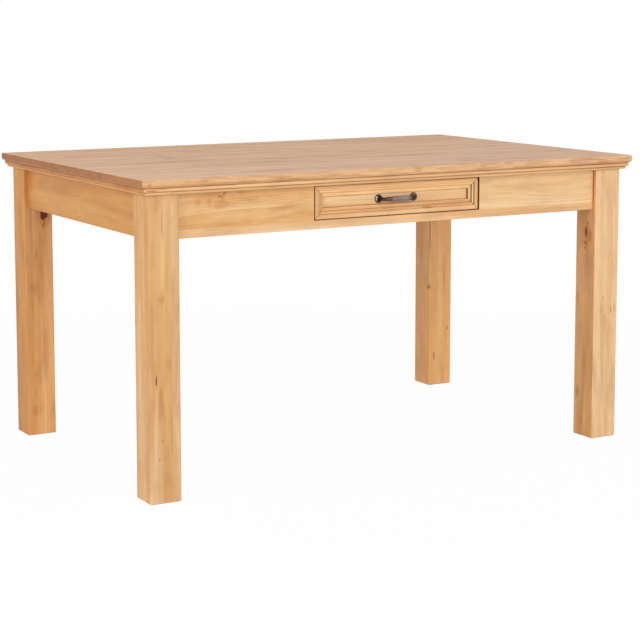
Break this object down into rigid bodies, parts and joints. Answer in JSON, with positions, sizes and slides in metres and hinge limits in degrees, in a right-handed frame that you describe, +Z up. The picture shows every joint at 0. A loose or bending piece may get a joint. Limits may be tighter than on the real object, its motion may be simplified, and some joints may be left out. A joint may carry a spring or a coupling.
{
  "type": "tavern table",
  "caption": "Rectangular solid pine dining table on square legs, with recessed aprons, a two-bead moulded top edge and a framed apron drawer with a bow pull.",
  "frame": {"origin": "on the floor, under the middle of the top", "axes": "+X along the table's length, -Y towards the drawer's side, +Z up"},
  "size_m": [1.4, 0.9, 0.75],
  "materials": {
    "pine_top": "satin lacquer",
    "pine_edge": "satin lacquer",
    "pine_leg": "satin lacquer",
    "pine_apron": "satin lacquer",
    "pine_drawer_front": "satin lacquer",
    "pine_drawer_box": "planed, unlacquered",
    "pine_inner": "planed, unlacquered",
    "drawer_bottom": "smooth thin sheet",
    "dowel": "fluted beech",
    "bronze": "antique bronze patina",
    "zinc_plate": "zinc plated",
    "zinc_screw": "zinc plated"
  },
  "bodies": {
    "table": {"apron_dowels": "dowel", "back_apron": "pine_apron", "bolt_nuts": "zinc_screw", "bolt_washers": "zinc_screw", "bracket_screws": "zinc_screw", "corner_bracket_back_left": "zinc_plate", "corner_bracket_back_right": "zinc_plate", "corner_bracket_front_left": "zinc_plate", "corner_bracket_front_right": "zinc_plate", "cross_packer_left": "pine_inner", "cross_packer_right": "pine_inner", "cross_rail_dowels": "dowel", "cross_rail_left": "pine_inner", "cross_rail_right": "pine_inner", "drawer_kicker_left": "pine_inner", "drawer_kicker_right": "pine_inner", "drawer_runner_left": "pine_inner", "drawer_runner_right": "pine_inner", "drawer_stop_left": "pine_inner", "drawer_stop_right": "pine_inner", "edge_strip_back": "pine_edge", "edge_strip_front": "pine_edge", "edge_strip_left": "pine_edge", "edge_strip_right": "pine_edge", "front_apron_left": "pine_apron", "front_apron_right": "pine_apron", "front_rail": "pine_apron", "guide_screws": "zinc_screw", "hanger_bolts": "zinc_screw", "left_apron": "pine_apron", "leg_back_left": "pine_leg", "leg_back_right": "pine_leg", "leg_front_left": "pine_leg", "leg_front_right": "pine_leg", "right_apron": "pine_apron", "top_board_1": "pine_top", "top_board_2": "pine_top", "top_board_3": "pine_top", "top_board_4": "pine_top", "top_board_5": "pine_top", "top_board_6": "pine_top", "top_board_7": "pine_top", "top_board_8": "pine_top", "top_fixing_angles": "zinc_plate", "top_fixing_screws": "zinc_screw"},
    "drawer": {"drawer_back": "pine_drawer_box", "drawer_bottom": "drawer_bottom", "drawer_dowels": "dowel", "drawer_front_board": "pine_drawer_front", "drawer_moulding_bottom": "pine_drawer_front", "drawer_moulding_left": "pine_drawer_front", "drawer_moulding_right": "pine_drawer_front", "drawer_moulding_top": "pine_drawer_front", "drawer_pull": "bronze", "drawer_side_left": "pine_drawer_box", "drawer_side_right": "pine_drawer_box", "pull_rosette_left": "bronze", "pull_rosette_right": "bronze", "pull_screws": "zinc_screw"}
  },
  "joints": [
    {"name": "drawer_slide", "type": "slide", "parent": "table", "child": "drawer", "axis": [0, -1, 0], "range_m": [0, 0.3]}
  ]
}
